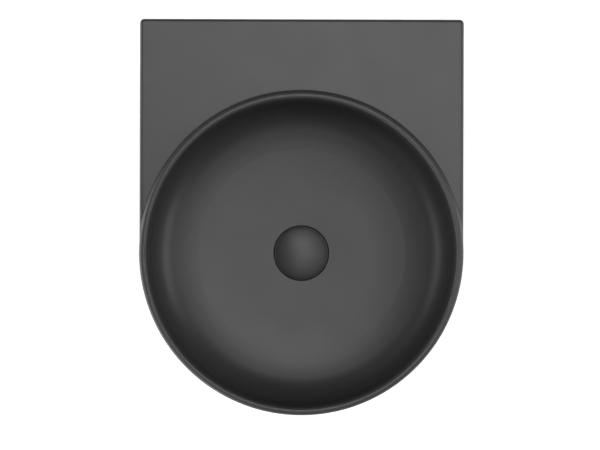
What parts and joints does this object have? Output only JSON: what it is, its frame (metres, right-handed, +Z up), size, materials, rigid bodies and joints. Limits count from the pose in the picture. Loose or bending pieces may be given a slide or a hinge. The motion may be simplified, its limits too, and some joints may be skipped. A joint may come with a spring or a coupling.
{
  "type": "pedestal sink",
  "caption": "Pedestal sink: D-shaped basin with a raised round bowl rim and flat rear deck, domed push-open waste cover, bottle trap and hollow column.",
  "frame": {"origin": "on the floor, on the vertical axis of the bowl and its waste", "axes": "+Z up, +Y to the building's wall behind the sink, -Y to the user, +X to the right as seen from the user's side towards the wall"},
  "size_m": [0.45, 0.55, 0.85],
  "materials": {
    "matte_glaze": "matte charcoal-black glaze",
    "chromed_brass": "chrome plate on brass",
    "raw_brass": "turned brass",
    "black_rubber": "matte rubber",
    "grey_foam": "closed-cell seating tape",
    "white_plastic": "moulded, satin",
    "acetal": "moulded bearing plastic",
    "steel": "zinc plated",
    "spring_steel": "bright wire",
    "black_plastic": "matt, matches the glaze"
  },
  "bodies": {
    "fixed": {"basin": "matte_glaze", "pedestal": "matte_glaze", "seat_gasket": "grey_foam", "floor_brackets": "steel", "bracket_nuts": "steel", "bracket_screws": "steel", "screw_sleeves": "white_plastic", "screw_caps": "black_plastic", "drain_body": "chromed_brass", "flange_gasket": "black_rubber", "lower_gasket": "black_rubber", "slip_washer": "white_plastic", "back_nut": "raw_brass", "latch_barrel": "raw_brass", "cam_sleeve": "acetal", "union_nut": "white_plastic", "union_washer": "black_rubber", "inlet_pipe": "white_plastic", "trap_top_seal": "black_rubber", "trap_top_nut": "white_plastic", "trap_head": "white_plastic", "cup_seal": "black_rubber", "outlet_seal": "black_rubber", "outlet_nut": "white_plastic", "outlet_pipe": "white_plastic"},
    "cap": {"drain_cap": "matte_glaze", "cap_holder": "chromed_brass", "cap_seal": "black_rubber", "plunger_stem": "raw_brass", "latch_spring": "spring_steel"},
    "rotor": {"latch_rotor": "acetal"},
    "cup": {"trap_cup": "white_plastic"}
  },
  "joints": [
    {"name": "cap_press", "type": "slide", "parent": "fixed", "child": "cap", "axis": [0, 0, 1], "range_m": [0, 0.008], "deforming": ["latch_spring"]},
    {"name": "rotor_turn", "type": "hinge", "parent": "cap", "child": "rotor", "pos_m": [0, 0, 0.69], "axis": [0, 0, 1], "range_deg": [0, 45]},
    {"name": "cup_drop", "type": "slide", "parent": "fixed", "child": "cup", "axis": [0, 0, 1], "range_m": [-0.09, 0]}
  ],
  "couplings": [
    {"joint": "rotor_turn", "follows": "cap_press", "rad_per_m": 98}
  ]
}
